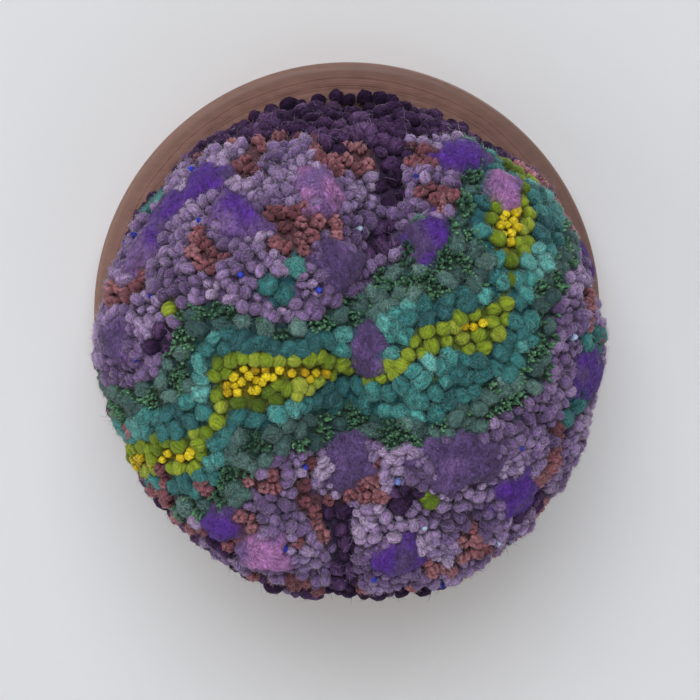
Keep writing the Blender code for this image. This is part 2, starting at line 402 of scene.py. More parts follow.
def smooth_copy(node, levels):
    """The mound's solid, its loose triangles merged to quads and smoothed by subdivision."""
    shaper = bmesh.new()
    shaper.from_mesh(node.data)
    bmesh.ops.remove_doubles(shaper, verts=shaper.verts, dist=0.001 * MM)
    bmesh.ops.join_triangles(
        shaper, faces=shaper.faces,
        angle_face_threshold=MERGE_ANGLE, angle_shape_threshold=MERGE_ANGLE,
    )
    mesh = bpy.data.meshes.new("mound skin")
    shaper.to_mesh(mesh)
    shaper.free()
    made = linked("mound_skin", mesh)
    smoother = made.modifiers.new("smooth", "SUBSURF")
    smoother.levels = smoother.render_levels = levels
    graph = bpy.context.evaluated_depsgraph_get()
    smoothed = bpy.data.meshes.new_from_object(made.evaluated_get(graph))
    made.modifiers.clear()
    made.data = smoothed
    return made


def vertex_arrays(mesh):
    points = np.empty(len(mesh.vertices) * 3)
    normals = np.empty(len(mesh.vertices) * 3)
    mesh.vertices.foreach_get("co", points)
    mesh.vertices.foreach_get("normal", normals)
    return points.reshape(-1, 3), normals.reshape(-1, 3)


def patch_cover(points):
    """How far each point lies under a patch, from 0 outside to 1 inside, its bulge there, and its number."""
    cover = np.zeros(len(points))
    bulge = np.zeros(len(points))
    owner = np.full(len(points), -1)
    ragged = np.array([
        noise.noise(Vector(p) / (5.5 * MM)) + 0.5 * noise.noise(Vector(p) / (2.2 * MM)) for p in points
    ])
    for number, (x, z, out, wide, tall, _) in enumerate(PATCHES):
        target = np.array((x, -(PLATE_FLOOR / MM + out), z)) * MM
        middle = skin_points[np.argmin(((skin_points - target) ** 2).sum(1))]
        off = (points - middle) / MM
        deep = off[:, 1] / max(wide, tall)
        reach = np.sqrt((off[:, 0] / wide) ** 2 + (off[:, 2] / tall) ** 2 + deep ** 2)
        inside = 1.0 - ease(reach + PATCH_RAGGED * ragged, PATCH_CORE, PATCH_BRIM)
        better = inside > cover
        cover[better] = inside[better]
        bulge[better] = np.sqrt(np.clip(1.0 - (reach[better] / PATCH_BRIM) ** 2, 0.0, 1.0))
        owner[better] = number
    return cover, bulge, owner


mound = smooth_copy(frame["nodes"]["fiber_mound"], SKIN_LEVELS)
skin_points, skin_normals = vertex_arrays(mound.data)
skin_heights = -skin_points[:, 1] - PLATE_FLOOR
cover, bulge, owner = patch_cover(skin_points)
crown = np.sqrt(np.clip(cover, 0.0, 1.0))
sunk = PILE_HEIGHT * (1.0 - crown) - PATCH_SWELL * bulge * crown
sunk *= ease(skin_heights, SUNK_FROM, SUNK_WHOLE)
cloth_points = skin_points - skin_normals * sunk[:, None]
mound.data.vertices.foreach_set("co", cloth_points.ravel())
mound.data.update()
first_wool = np.array([linear(PATCH_WOOL[patch[-1]]) for patch in PATCHES])
second_wool = np.array([linear(PATCH_WOOL[CARDED_WITH[patch[-1]]]) for patch in PATCHES])
drift = [noise.noise(Vector(point) / (7.0 * MM) + Vector((4.0, 2.0, 0.0))) for point in skin_points]
carding = ease(np.array(drift), 0.0, 0.45)
patch_wool = first_wool[owner] + (second_wool[owner] - first_wool[owner]) * carding[:, None]
mound.data.color_attributes.new("wool", "FLOAT_COLOR", "POINT")
store(mound.data, "tip", cover)
store(mound.data, "tint", np.full(len(cover), 0.5))
mound.data.shade_smooth()


def felted_wool():
    """Felted wool is matt, with a soft bloom at grazing light and fine matted hairs. The hairs are drawn
    coarser than real ones, which would be too fine to show."""
    made, tree, shader = new_material("felted wool")
    place = add(tree, "ShaderNodeTexCoord").outputs["Object"]
    base = add(tree, "ShaderNodeAttribute", attribute_name="wool").outputs["Color"]
    tint = add(tree, "ShaderNodeAttribute", attribute_name="tint").outputs["Fac"]
    bent = add(tree, "ShaderNodeTexNoise", {"Vector": place, "Scale": 160.0, "Detail": 2.0}).outputs["Color"]
    swayed = add(tree, "ShaderNodeVectorMath", {0: bent, 1: (0.012, 0.012, 0.012)}, operation="MULTIPLY")
    moved = add(tree, "ShaderNodeVectorMath", {0: place, 1: swayed}, operation="ADD")
    combed = add(tree, "ShaderNodeMapping", {
        "Vector": moved, "Scale": (1700.0, 1700.0, 480.0), "Rotation": (0.0, 0.5, 0.0),
    })
    hairs = add(tree, "ShaderNodeTexNoise", {"Vector": combed, "Scale": 1.0, "Detail": 3.0, "Roughness": 0.7})
    clumps = add(tree, "ShaderNodeTexNoise", {"Vector": place, "Scale": 420.0, "Detail": 3.0})
    light = add(tree, "ShaderNodeMapRange", {
        "Value": hairs, "From Min": 0.34, "From Max": 0.68, "To Min": 0.4, "To Max": 1.75,
    })
    patchy = add(tree, "ShaderNodeMapRange", {
        "Value": clumps, "From Min": 0.3, "From Max": 0.7, "To Min": 0.7, "To Max": 1.2,
    })
    strand = add(tree, "ShaderNodeMapRange", {"Value": tint, "To Min": 0.45, "To Max": 1.75})
    both = add(tree, "ShaderNodeMath", {0: light, 1: patchy}, operation="MULTIPLY")
    level = add(tree, "ShaderNodeMath", {0: both, 1: strand}, operation="MULTIPLY")
    tinted = add(tree, "ShaderNodeVectorMath", {0: base, "Scale": level}, operation="SCALE")
    tree.links.new(tinted.outputs[0], shader.inputs["Base Color"])
    rough = add(tree, "ShaderNodeBump", {"Height": hairs, "Strength": 0.8, "Distance": 0.25 * MM})
    tree.links.new(rough.outputs[0], shader.inputs["Normal"])
    shader.inputs["Roughness"].default_value = 0.95
    shader.inputs["Specular IOR Level"].default_value = 0.25
    shader.inputs["Sheen Weight"].default_value = 0.15
    shader.inputs["Sheen Roughness"].default_value = 0.5
    return made


felt = felted_wool()
mound.data.materials.append(felt)
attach(mound, "root")
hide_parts("fiber_mound")


# Laying out the pile
# The loops are punched as close as their yarn allows, the fine yarns closer than the thick ones.
# The colours run in wavy bands across both lobes, inside a dark border by the plate.
YARN_SPACING = {
    "aubergine": 3.9 * MM, "rust": 4.0 * MM, "lilac": 2.8 * MM, "green": 4.3 * MM, "boucle": 1.05 * MM,
    "teal": 4.7 * MM, "lime": 4.0 * MM, "yellow": 2.7 * MM,
}
BAND_TILT = math.radians(34.0)
# The band swings in two waves: how far each swings and its length, in mm, and its phase in radians.
BAND_WAVES = ((10.0, 118.0, 0.4), (3.2, 41.0, 2.1))
# How far each yarn reaches from the middle line of the wave, on either side, in mm, and how much of
# that comes and goes along the wave.
BAND_REACH = {"yellow": 0.0, "lime": 5.0, "teal": 13.0, "green": 22.5}
BAND_SWELL = 9.0
# The dark border reaches this far out of the plate's floor, in mm, at each angle round the mound.
BORDER_ANGLES = (-90.0, -50.0, 0.0, 90.0, 170.0, 225.0, 270.0)
BORDER_REACH = (54.0, 40.0, 14.0, 40.0, 20.0, 52.0, 54.0)
RUST_REACH = 11.0
# The dark loops also run down the valley between the lobes: its height and place across, in mm.
VALLEY_HEIGHTS = (-68.0, -56.0, -38.0, -12.0, 10.0, 28.0, 46.0, 64.0)
VALLEY_ACROSS = (-2.0, -3.5, -5.5, -2.0, 1.0, 8.0, 10.5, 5.0)
VALLEY_HALF = 3.4
# Between these heights the bands cross the valley, and it has no dark loops.
VALLEY_CROSSED = (-40.0, 26.0)
# Every edge between two yarns wavers with a fine and a broad ripple, of these sizes in mm.
FINE_RIPPLE = 8.0
BROAD_RIPPLE = 26.0
# The boucle lies where a ripple of this size, in mm, rises above this level among the green puffs.
BOUCLE_RIPPLE = 5.0
BOUCLE_LEVEL = 0.04
# Small clusters among the lilac loops, by their yarn: the place of each across, up and out of the
# plate, and its size, all in mm. Depth counts for less than the other two ways.
CLUSTERS = (
    ("teal", ((-20, 21, 64, 5.0), (34, -50, 46, 5.5), (60, -18, 46, 5.0), (-58, 38, 22, 6.0))),
    ("lime", ((-47, 12, 58, 4.2), (20, -40, 60, 4.2), (-24, -62, 38, 4.5))),
    ("rust", (
        (-40, 27, 52, 6.0), (-16, 34, 60, 6.5), (-10, -44, 58, 7.0), (20, 44, 54, 6.0), (52, -28, 48, 6.0),
        (60, 8, 40, 6.0), (-52, -34, 40, 6.5), (-26, 51, 44, 5.0), (-61, 15, 48, 5.5), (33, -60, 36, 5.0),
    )),
    ("teal", ((16, -60, 46, 4.5), (44, -20, 56, 4.0), (64, 0, 44, 5.0))),
    ("aubergine", ((-30, 13, 60, 4.0), (-50, 4, 59, 4.5), (12, -36, 62, 5.0), (48, -42, 50, 5.0))),
)
CLUSTER_DEPTH = 0.6
CANDIDATES = 120000
LAYOUT_SEED = 11
# No hole is punched lower than this on the mound, or where a patch covers more than this share.
LOWEST_HOLE = 5.0 * MM
PATCH_SHARE = 0.72
# Even holes one spacing apart each take this share of the spacing squared.
HOLE_SHARE = 0.87
# A place is bare when it lies further than this from every hole, and than this share of its spacing.
LEAST_GAP = 1.6 * MM
BARE_SHARE = 0.85


def ripple(point, size_mm, shift):
    return noise.noise(point / (size_mm * MM) + Vector((shift, 0.0, 0.0)))


def yarn_at(point):
    """The yarn that is punched at a point of the skin."""
    x = point.x / MM
    z = point.z / MM
    out = (-point.y - PLATE_FLOOR) / MM
    angle = math.degrees(math.atan2(point.z, point.x)) % 360.0
    angle = angle - 360.0 if angle > 270.0 else angle
    rough = ripple(point, FINE_RIPPLE, 0.0)
    broad = ripple(point, BROAD_RIPPLE, 3.0)
    border = float(np.interp(angle, BORDER_ANGLES, BORDER_REACH)) * (1.0 + 0.22 * rough + 0.25 * broad)
    off_valley = abs(x - float(np.interp(z, VALLEY_HEIGHTS, VALLEY_ACROSS)))
    near_valley = off_valley < VALLEY_HALF * (1.0 + 1.2 * rough + 0.6 * broad)
    crossed = VALLEY_CROSSED[0] <= z <= VALLEY_CROSSED[1]
    if out < border or (near_valley and not crossed):
        return "aubergine"
    if out < border + RUST_REACH * (0.40 + 2.2 * ripple(point, 12.0, 5.0) + 0.8 * rough):
        return "rust"
    along = x * math.cos(BAND_TILT) + z * math.sin(BAND_TILT)
    across = z * math.cos(BAND_TILT) - x * math.sin(BAND_TILT)
    for swing, length, phase in BAND_WAVES:
        across += swing * math.sin(math.tau * along / length + phase)
    across += 3.5 * rough + 6.0 * broad
    swell = ripple(point, 22.0, 31.0)
    reached = [yarn for yarn, reach in BAND_REACH.items() if abs(across) < reach + BAND_SWELL * swell]
    yarn = reached[0] if reached else "lilac"
    if yarn == "green" and ripple(point, BOUCLE_RIPPLE, 21.0) > BOUCLE_LEVEL:
        return "boucle"
    if yarn == "lilac":
        for other, group in CLUSTERS:
            for mid_x, mid_z, mid_out, size in group:
                off = Vector((x - mid_x, CLUSTER_DEPTH * (out - mid_out), z - mid_z)).length
                if off < size * (1.0 + 1.2 * rough):
                    return other
    return yarn


def skin_samples(count, seed):
    """Even random places on the mound's skin, the skin's outward direction there, and its area."""
    draw = np.random.default_rng(seed)
    mesh = mound.data
    mesh.calc_loop_triangles()
    corners = np.empty(len(mesh.loop_triangles) * 3, dtype=np.int64)
    mesh.loop_triangles.foreach_get("vertices", corners)
    corners = corners.reshape(-1, 3)
    a, b, c = (skin_points[corners[:, k]] for k in range(3))
    area = 0.5 * np.linalg.norm(np.cross(b - a, c - a), axis=1)
    area[skin_heights[corners].mean(1) < LOWEST_HOLE] = 0.0
    picked = draw.choice(len(corners), size=count, p=area / area.sum())
    u = draw.random(count)
    v = draw.random(count)
    flip = u + v > 1.0
    u[flip], v[flip] = 1.0 - u[flip], 1.0 - v[flip]
    weights = np.stack([1.0 - u - v, u, v], 1)[:, :, None]
    places = (skin_points[corners[picked]] * weights).sum(1)
    outward = (skin_normals[corners[picked]] * weights).sum(1)
    outward /= np.linalg.norm(outward, axis=1)[:, None]
    return places, outward, area.sum()


def finder(points):
    tree = kdtree.KDTree(len(points))
    for number, point in enumerate(points):
        tree.insert(point, number)
    tree.balance()
    return tree


def settle(spots, area, spacing, seed, rounds=7):
    """Numbers of the spots that share the area evenly, about one spacing apart."""
    count = max(1, round(area / (HOLE_SHARE * spacing ** 2)))
    draw = np.random.default_rng(seed)
    centres = spots[draw.choice(len(spots), size=min(count, len(spots)), replace=False)]
    for _ in range(rounds):
        tree = finder(centres)
        nearest = np.array([tree.find(spot)[1] for spot in spots])
        held = np.bincount(nearest, minlength=len(centres))
        for axis in range(3):
            sums = np.bincount(nearest, weights=spots[:, axis], minlength=len(centres))
            centres[:, axis] = np.where(held > 0, sums / np.maximum(held, 1), centres[:, axis])
    tree = finder(spots)
    return np.unique([tree.find(centre)[1] for centre in centres])


places, outward, pile_area = skin_samples(CANDIDATES, LAYOUT_SEED)
covered, _, _ = patch_cover(places)
yarns = np.array([
    "" if share > PATCH_SHARE else yarn_at(Vector(place)) for share, place in zip(covered, places)
])
pile = {}
for name, spacing in YARN_SPACING.items():
    here = np.flatnonzero(yarns == name)
    pile[name] = here[settle(places[here], pile_area * len(here) / CANDIDATES, spacing, LAYOUT_SEED)]


def bare_spots():
    """Numbers of the places that lie too far from every hole, each about one spacing apart."""
    taken = finder(places[np.concatenate(list(pile.values()))])
    apart = np.array([YARN_SPACING.get(yarn, 0.0) for yarn in yarns])
    far = np.array([taken.find(place)[2] for place in places])
    bare = np.flatnonzero((apart > 0.0) & (far > BARE_SHARE * apart) & (far > LEAST_GAP))
    added = []
    for number in bare[np.argsort(-far[bare])]:
        near = places[added] - places[number]
        if not added or (near ** 2).sum(1).min() > (BARE_SHARE * apart[number]) ** 2:
            added.append(number)
    return np.array(added, dtype=int)


# A narrow stretch of one yarn can end up bare, so more holes are set where none is near.
more = bare_spots()
for name in YARN_SPACING:
    chosen = np.concatenate([pile[name], more[yarns[more] == name]])
    pile[name] = (places[chosen], outward[chosen])

# The base cloth takes the colour of the yarn over it, darkened as painted shade for the gaps between the
# loops, so no gap shows pale.
CLOTH_DYE_AND_SHADE = {
    "aubergine": "#2e2038", "rust": "#583840", "lilac": "#584568", "green": "#2b4649", "boucle": "#33523f",
    "teal": "#2c5f66", "lime": "#5a6822", "yellow": "#80701c", "": "#453552",
}
over_cloth = finder(places)
cloth_dye_and_shade = np.array([linear(CLOTH_DYE_AND_SHADE[yarns[over_cloth.find(point)[1]]]) for point in skin_points])
shades = cloth_dye_and_shade + (patch_wool - cloth_dye_and_shade) * (cover * (owner >= 0))[:, None]
mound.data.color_attributes["wool"].data.foreach_set("color", shades.ravel())


# Lilac loops
# Plump single loops of soft lilac wool roving, oval from above, with the fibres over their crown.
# They are punched through the cloth from behind and held by their neighbours.
def push(point):
    """A smooth push in some direction that differs from point to point, the same in every run."""
    return Vector([noise.noise(point + Vector((0.0, shift, 0.0))) for shift in (0.5, 31.2, 67.9)])


def knob(seed, stretch, rough, petals=0, petal_depth=0.0, dent=0.0, segments=9, rings=5):
    """A loop's head on its neck, one wide and one high: points, faces and fibre coordinates."""
    shift = Vector((seed * 3.7, seed * 1.3, seed * 2.9))
    phase = seed * 1.9
    turns = np.radians(np.linspace(-50.0, 68.0, rings))
    points = []
    for ring, turn in enumerate(turns):
        radius = 0.5 * math.cos(turn) ** 0.8
        level = 0.62 + 0.38 * math.sin(turn)
        for segment in range(segments):
            angle = math.tau * (segment + 0.5 * (ring % 2)) / segments
            crease = 1.0 + petal_depth * math.cos(petals * angle + phase) * (ring / (rings - 1))
            out = radius * crease
            point = Vector((out * stretch * math.cos(angle), out * math.sin(angle) / stretch, level))
            point.z -= dent * max(0.0, ring / (rings - 1) - 0.6) * 2.5
            point += push(point * 2.6 + shift) * rough
            points.append(point)
    points.append(Vector((0.0, 0.0, 1.0 - dent)) + push(shift) * 0.5 * rough)
    faces = [tuple(range(segments - 1, -1, -1))] + bands(rings, segments)
    last = (rings - 1) * segments
    for segment in range(segments):
        faces.append((last + segment, last + (segment + 1) % segments, len(points) - 1))
    coordinates = []
    for point in points:
        if petals:
            coordinates.append((math.atan2(point.y, point.x) / math.pi, math.hypot(point.x, point.y)))
        else:
            coordinates.append((point.y, math.atan2(point.x, point.z - 0.45) / math.pi))
    return points, faces, coordinates


def shape_set(name, shapes, tip_from=0.0):
    """A collection of shapes, out of the scene, with fibre coordinates and heights stored on them."""
    group = bpy.data.collections.new(name)
    for number, (points, faces, coordinates) in enumerate(shapes):
        made = solid(f"{name}_{number}", points, faces)
        flow = made.data.uv_layers.new(name="fibre")
        for loop in made.data.loops:
            flow.data[loop.index].uv = coordinates[loop.vertex_index]
        top = max(point.z for point in points)
        heights = [tip_from + (1.0 - tip_from) * max(0.0, point.z) / top for point in points]
        store(made.data, "tip", heights)
        bpy.context.scene.collection.objects.unlink(made)
        group.objects.link(made)
    return group


def stand_shapes(tree, given, points, outward):
    """Stand a random shape on each point, turned and leaning a little, then join and dye them."""
    second_seed, third_seed, fourth_seed = [
        add(tree, "ShaderNodeMath", {0: given["Seed"], 1: step}, operation="ADD") for step in (1.0, 2.0, 3.0)
    ]
    upright = add(tree, "FunctionNodeAlignRotationToVector", {"Vector": outward}, axis="Z")
    tilt = add(tree, "FunctionNodeRandomValue", {
        2: given["Least lean"], 3: given["Lean"], "Seed": fourth_seed,
    }, data_type="FLOAT").outputs[1]
    leaning = add(tree, "FunctionNodeEulerToRotation", {0: add(tree, "ShaderNodeCombineXYZ", {"Y": tilt})})
    spin = add(tree, "FunctionNodeRandomValue", {
        2: 0.0, 3: math.tau, "Seed": given["Seed"],
    }, data_type="FLOAT").outputs[1]
    spun = add(tree, "FunctionNodeEulerToRotation", {0: add(tree, "ShaderNodeCombineXYZ", {"Z": spin})})
    stood = upright
    for turn in (spun, leaning):
        stood = add(tree, "FunctionNodeRotateRotation", {
            "Rotation": stood, "Rotate By": turn,
        }, rotation_space="LOCAL")
    small, large = [
        add(tree, "ShaderNodeMath", {0: 1.0, 1: given["Size spread"]}, operation=way)
        for way in ("SUBTRACT", "ADD")
    ]
    factor = add(tree, "FunctionNodeRandomValue", {
        2: small, 3: large, "Seed": second_seed,
    }, data_type="FLOAT").outputs[1]
    size = add(tree, "ShaderNodeCombineXYZ", {"X": given["Width"], "Y": given["Width"], "Z": given["Height"]})
    sized = add(tree, "ShaderNodeVectorMath", {0: size, "Scale": factor}, operation="SCALE")
    last = add(tree, "ShaderNodeMath", {0: given["Shape count"], 1: 1.0}, operation="SUBTRACT")
    which = add(tree, "FunctionNodeRandomValue", {
        4: 0, 5: last, "Seed": third_seed,
    }, data_type="INT").outputs[2]
    shapes = add(tree, "GeometryNodeCollectionInfo", {
        "Collection": given["Shapes"], "Separate Children": True, "Reset Children": True,
    })
    stand = add(tree, "GeometryNodeInstanceOnPoints", {
        "Points": points, "Instance": shapes, "Pick Instance": True,
        "Instance Index": which, "Rotation": stood, "Scale": sized,
    })
    joined = add(tree, "GeometryNodeRealizeInstances", {"Geometry": stand})
    dyed = add(tree, "GeometryNodeSetMaterial", {"Geometry": joined, "Material": given["Yarn"]})
    add(tree, "NodeGroupOutput", {"Geometry": dyed})


SHAPE_SOCKETS = {
    "Shapes": "Collection", "Shape count": "Int", "Width": "Float", "Height": "Float",
    "Size spread": "Float", "Least lean": "Float", "Lean": "Float", "Seed": "Int", "Yarn": "Material",
}


def new_tree(name, sockets):
    tree = bpy.data.node_groups.new(name, "GeometryNodeTree")
    tree.interface.new_socket("Geometry", in_out="OUTPUT", socket_type="NodeSocketGeometry")
    for socket, kind in {**sockets, **SHAPE_SOCKETS}.items():
        tree.interface.new_socket(socket, in_out="INPUT", socket_type="NodeSocket" + kind)
    return tree, add(tree, "NodeGroupInput").outputs


def pile_tree():
    """Loops on the punched holes: a shape on each point, along its stored outward direction."""
    tree, given = new_tree("punched pile", {"Holes": "Geometry"})
    outward = add(tree, "GeometryNodeInputNamedAttribute", {"Name": "outward"}, data_type="FLOAT_VECTOR")
    stand_shapes(tree, given, given["Holes"], outward)
    return tree


def fibre_tree():
    """Loose fibres on the heads of the loops, each a little lighter or darker than its loop."""
    tree, given = new_tree("loose fibres", {
        "Pile": "Geometry", "Density": "Float", "Lowest tip": "Float", "Tint spread": "Float",
    })
    tip = add(tree, "GeometryNodeInputNamedAttribute", {"Name": "tip"}, data_type="FLOAT")
    heads = add(tree, "FunctionNodeCompare", {
        0: tip, 1: given["Lowest tip"],
    }, data_type="FLOAT", operation="GREATER_THAN")
    spread = add(tree, "GeometryNodeDistributePointsOnFaces", {
        "Mesh": given["Pile"], "Selection": heads, "Density": given["Density"], "Seed": given["Seed"],
    }, distribute_method="RANDOM").outputs
    tint = add(tree, "GeometryNodeInputNamedAttribute", {"Name": "tint"}, data_type="FLOAT")
    less = add(tree, "ShaderNodeMath", {0: given["Tint spread"], 1: -0.25}, operation="MULTIPLY")
    own_seed = add(tree, "ShaderNodeMath", {0: given["Seed"], 1: 7.0}, operation="ADD")
    own = add(tree, "FunctionNodeRandomValue", {
        2: less, 3: given["Tint spread"], "Seed": own_seed,
    }, data_type="FLOAT").outputs[1]
    shade = add(tree, "ShaderNodeMath", {0: tint, 1: own}, operation="ADD", use_clamp=True)
    dyed = add(tree, "GeometryNodeStoreNamedAttribute", {
        "Geometry": spread[0], "Name": "tint", "Value": shade,
    }, data_type="FLOAT", domain="POINT")
    stand_shapes(tree, given, dyed, spread["Normal"])
    return tree


PILE_TREE = pile_tree()
FIBRE_TREE = fibre_tree()


def grow(name, mesh, tree, shapes, yarn, slot="wool_pile", **values):
    """A piece grown by a tree from a mesh of points or heads, turned into a plain mesh."""
    made = linked(name, mesh)
    grower = made.modifiers.new("growth", "NODES")
    grower.node_group = tree
    given = {"Shapes": shapes, "Shape count": len(shapes.objects), "Yarn": yarn}
    given.update({key.replace("_", " ").capitalize(): value for key, value in values.items()})
    for item in tree.interface.items_tree:
        if item.in_out == "INPUT" and item.name in given:
            grower[item.identifier] = given[item.name]
    graph = bpy.context.evaluated_depsgraph_get()
    grown = bpy.data.meshes.new_from_object(made.evaluated_get(graph))
    made.modifiers.clear()
    made.data = grown
    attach(made, "root")
    return made


def holes(name, spots, outward, tints):
    """The punched holes as loose points, each with its outward direction and tint."""
    mesh = bpy.data.meshes.new(name)
    mesh.from_pydata([tuple(spot) for spot in spots], [], [])
    directions = np.asarray(outward, dtype=float).ravel()
    mesh.attributes.new("outward", "FLOAT_VECTOR", "POINT").data.foreach_set("vector", directions)
    store(mesh, "tint", np.asarray(tints, dtype=float))
    return mesh


# The loops take the lower part of each yarn's shades, and the loose fibres reach the palest.
LOOP_TINTS = 0.75
TINT_DRIFT = 13.0


def tints_at(spots, seed, share):
    """A tint for each spot, part of it drifting over the skin and part of it its own."""
    draw = random.Random(seed)
    tints = []
    for spot in spots:
        drift = 0.5 + 1.5 * ripple(Vector(spot), TINT_DRIFT, seed)
        tints.append(LOOP_TINTS * min(1.0, max(0.0, share * drift + (1.0 - share) * draw.random())))
    return tints


# The loops' roots lie this far under the mound's skin, and the loops rise this high from them.
ROOT_DEPTH = 4.4 * MM
LOOP_RISE = 4.6 * MM
WISP_SPREAD = 0.4


def punch(name, kind, shapes, yarn, tint_seed, lean, share=0.55, root=ROOT_DEPTH, height=LOOP_RISE, **values):
    """The loops of one kind of yarn, on the holes that were laid out for it."""
    spots, out = pile[kind]
    rooted = holes(f"{kind} holes", spots - out * root, out, tints_at(spots, tint_seed, share))
    return grow(name, rooted, PILE_TREE, shapes, yarn, height=height, least_lean=-lean, lean=lean, **values)


def brush_up(name, piece, wisps, yarn, slot="wool_pile", **values):
    """Loose fibres brushed up from the heads of a piece."""
    return grow(name, piece.data, FIBRE_TREE, wisps, yarn, slot, size_spread=WISP_SPREAD, **values)


def wisp(seed, thick, rings, bend=0.35):
    """One loose fibre, one long and bent over, as a three-sided tapering strand. It is thicker than a
    real wool fibre, which would be too fine to show."""
    draw = random.Random(seed)
    points = []
    coordinates = []
    for ring in range(rings):
        t = ring / rings
        middle = Vector((bend * t * t, 0.12 * math.sin(3.0 * t + seed) * t, t * (1.0 - 0.3 * bend * t)))
        for corner in range(3):
            angle = math.tau * corner / 3.0 + draw.uniform(-0.2, 0.2)
            points.append(middle + Vector((math.cos(angle), math.sin(angle), 0.0)) * thick * (1.0 - 0.35 * t))
            coordinates.append((corner / 3.0, t))
    points.append(Vector((bend, 0.12 * math.sin(3.0 + seed), 1.0 - 0.3 * bend)))
    coordinates.append((0.5, 1.0))
    faces = [(2, 1, 0)] + bands(rings, 3)
    last = (rings - 1) * 3
    for corner in range(3):
        faces.append((last + corner, last + (corner + 1) % 3, len(points) - 1))
    return points, faces, coordinates


# Each yarn's root colour is the painted shade that its loops darken to low down, between their neighbours.
def wool_yarn(
    name, shades, strands=5.0, streak=0.8, speckle=0.3, tangle=0.22, sheen=0.4, bloom="#ffffff",
    roughness=1.0, root="#503e60", relief=0.35, soft=0.45,
):
    """Loosely spun wool: matt, with a soft bloom, and lighter fibres that follow the loop. A painted
    highlight lightens each loop's crown, and painted shade darkens its lower part down to the root colour.
    """
    made, tree, shader = new_material(name)
    tint = add(tree, "ShaderNodeAttribute", attribute_name="tint").outputs["Fac"]
    tip = add(tree, "ShaderNodeAttribute", attribute_name="tip").outputs["Fac"]
    flow = add(tree, "ShaderNodeUVMap", uv_map="fibre")
    place = add(tree, "ShaderNodeTexCoord").outputs["Object"]
    dye = add(tree, "ShaderNodeValToRGB", {"Fac": tint})
    stops = dye.color_ramp.elements
    while len(stops) < len(shades):
        stops.new(0.5)
    for number, shade in enumerate(shades):
        stops[number].position = number / (len(shades) - 1)
        stops[number].color = linear(shade)
    apart = add(tree, "ShaderNodeMath", {0: tint, 1: 91.0}, operation="MULTIPLY")
    bend = add(tree, "ShaderNodeTexNoise", {"Vector": place, "Scale": 700.0, "Detail": 1.0}).outputs["Color"]
    bent = add(tree, "ShaderNodeVectorMath", {0: bend, 1: (tangle, tangle, 0.0)}, operation="MULTIPLY")
    swayed = add(tree, "ShaderNodeVectorMath", {0: flow, 1: bent}, operation="ADD")
    combed = add(tree, "ShaderNodeMapping", {"Vector": swayed, "Scale": (strands, 1.6, 1.0)})
    fibres = add(tree, "ShaderNodeTexNoise", {
        "Vector": combed, "W": apart, "Scale": 1.0, "Detail": 2.5, "Roughness": 0.55,
    }, noise_dimensions="4D")
    felt = add(tree, "ShaderNodeTexNoise", {
        "Vector": place, "Scale": 2000.0, "Detail": 2.0, "Roughness": 0.6,
    })
    mixed = add(tree, "ShaderNodeMix", {0: speckle, 2: fibres, 3: felt})
    lit = add(tree, "ShaderNodeMapRange", {
        "Value": mixed, "From Min": 0.36, "From Max": 0.64, "To Min": 1.0 - streak, "To Max": 1.0 + streak,
    })
    # Painted highlight and shade: the loop is lightened towards its crown and darkened below it, by its
    # height.
    crown = add(tree, "ShaderNodeMapRange", {
        "Value": tip, "From Min": 0.62, "From Max": 1.0, "To Min": 0.62, "To Max": 1.32,
    })
    level = add(tree, "ShaderNodeMath", {0: lit, 1: crown}, operation="MULTIPLY")
    dyed = add(tree, "ShaderNodeVectorMath", {0: dye, "Scale": level}, operation="SCALE")
    # Painted shade: low down, the loop turns to the root colour, for the dark between the loops.
    depth = add(tree, "ShaderNodeMapRange", {"Value": tip, "From Min": 0.25, "From Max": 0.6})
    shaded = add(tree, "ShaderNodeMix", {0: depth, 6: linear(root), 7: dyed}, data_type="RGBA")
    tree.links.new(shaded.outputs[2], shader.inputs["Base Color"])
    hairs = add(tree, "ShaderNodeBump", {"Height": mixed, "Strength": 0.9, "Distance": relief * MM})
    tree.links.new(hairs.outputs[0], shader.inputs["Normal"])
    shader.inputs["Roughness"].default_value = roughness
    shader.inputs["Specular IOR Level"].default_value = 0.15
    shader.inputs["Subsurface Weight"].default_value = soft
    shader.inputs["Subsurface Radius"].default_value = (1.0, 0.8, 0.9)
    shader.inputs["Subsurface Scale"].default_value = 0.9 * MM
    shader.inputs["Sheen Weight"].default_value = sheen
    shader.inputs["Sheen Tint"].default_value = linear(bloom)
    shader.inputs["Sheen Roughness"].default_value = 0.6
    return made


short_wisps = shape_set("short wisp", [wisp(seed, thick=0.036, rings=1) for seed in range(3)], tip_from=0.9)
long_wisps = shape_set("long wisp", [
    wisp(seed + 9, bend=0.35 + 0.15 * seed, thick=0.011, rings=3) for seed in range(5)
], tip_from=0.9)
lilac_shapes = shape_set("lilac shape", [
    knob(seed, stretch=1.03 + 0.04 * seed, rough=0.09) for seed in range(6)
])
lilac_yarn = wool_yarn(
    "lilac wool roving", ("#4b375e", "#644e77", "#7f6990", "#9a86a4", "#cdc3d4"),
    strands=7.0, speckle=0.45, sheen=0.6, bloom="#b8a8c2",
)
lilac = punch(
    "lilac_loops", "lilac", lilac_shapes, lilac_yarn, tint_seed=3, share=0.5,
    width=3.3 * MM, size_spread=0.24, lean=0.16, seed=21,
)
brush_up(
    "lilac_fibres", lilac, short_wisps, lilac_yarn, density=2.0e6, lowest_tip=0.66, tint_spread=1.0,
    width=1.3 * MM, height=1.5 * MM, least_lean=0.7, lean=1.4, seed=22,
)
brush_up(
    "lilac_wisps", lilac, long_wisps, lilac_yarn, density=1.4e5, lowest_tip=0.66, tint_spread=0.8,
    width=2.8 * MM, height=2.8 * MM, least_lean=0.6, lean=1.3, seed=24,
)


